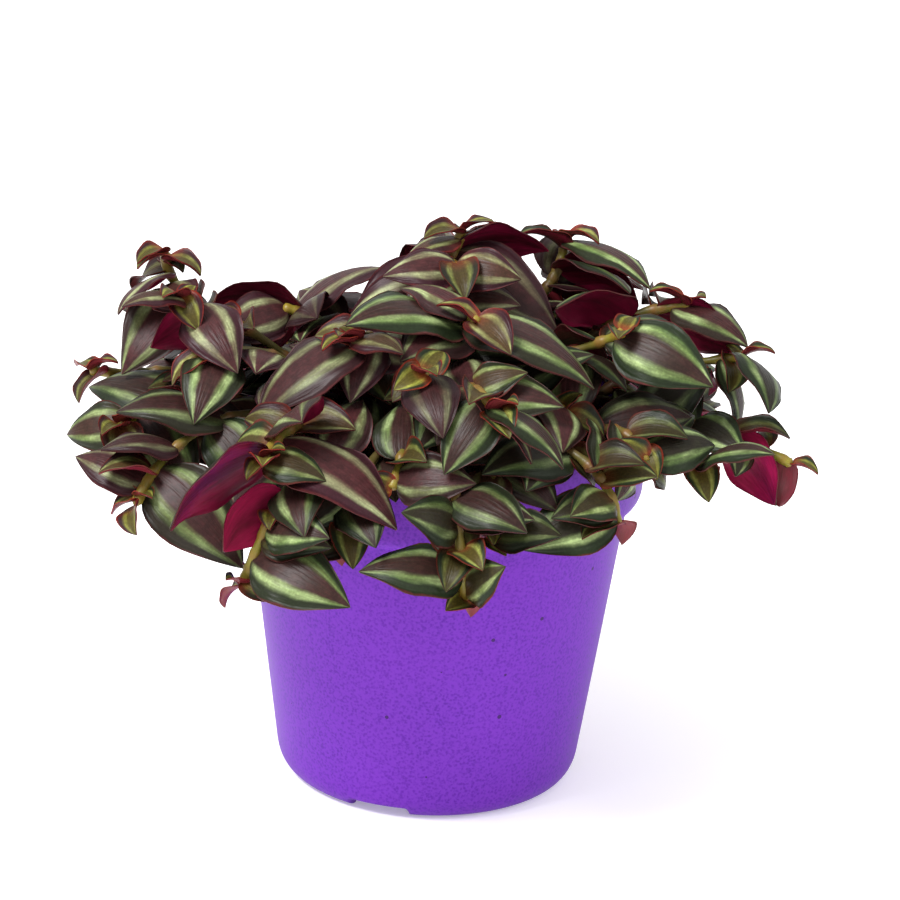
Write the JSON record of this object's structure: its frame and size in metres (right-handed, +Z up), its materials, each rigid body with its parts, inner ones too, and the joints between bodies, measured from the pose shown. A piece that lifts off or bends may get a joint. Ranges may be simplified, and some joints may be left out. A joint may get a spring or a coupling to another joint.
{
  "type": "potted tradescantia",
  "caption": "Trailing striped tradescantia in a tapered plastic pot with a broad rim band; leafy stems stand in compost, spread over the rim and hang down around it.",
  "frame": {"origin": "bottom centre of the bounding box, on the floor under the pot's axis", "axes": "+Z up, +X to the right and -Y to the front as the plant is seen in its picture; the spread of the foliage is longest along X and the height along Z is the shortest extent"},
  "size_m": [0.2137, 0.1887, 0.1652],
  "materials": {
    "pot": "satin moulded polypropylene, evenly coloured, very fine grain",
    "soil": null,
    "plant": null
  },
  "bodies": {
    "root": {"pot": "pot", "soil": "soil", "stem_back_1": "plant", "stem_back_2": "plant", "stem_back_3": "plant", "stem_back_4": "plant", "stem_back_5": "plant", "stem_back_6": "plant", "stem_back_7": "plant", "stem_bud_front": "plant", "stem_bud_left": "plant", "stem_centre": "plant", "stem_centre_left": "plant", "stem_crown_1": "plant", "stem_crown_2": "plant", "stem_crown_3": "plant", "stem_crown_4": "plant", "stem_drop_front": "plant", "stem_front_left": "plant", "stem_front_mid": "plant", "stem_left_curl": "plant", "stem_left_hang": "plant", "stem_left_high": "plant", "stem_left_inner": "plant", "stem_left_low": "plant", "stem_left_mid": "plant", "stem_left_shoulder": "plant", "stem_low_front": "plant", "stem_low_left": "plant", "stem_low_right": "plant", "stem_right_bud": "plant", "stem_right_far": "plant", "stem_right_heart": "plant", "stem_right_high": "plant", "stem_right_low": "plant", "stem_right_rosette": "plant", "stem_small_front": "plant", "stem_top": "plant", "stem_top_front": "plant", "stem_tuft_left": "plant", "stem_umbrella": "plant", "stem_under_right": "plant"}
  },
  "joints": []
}
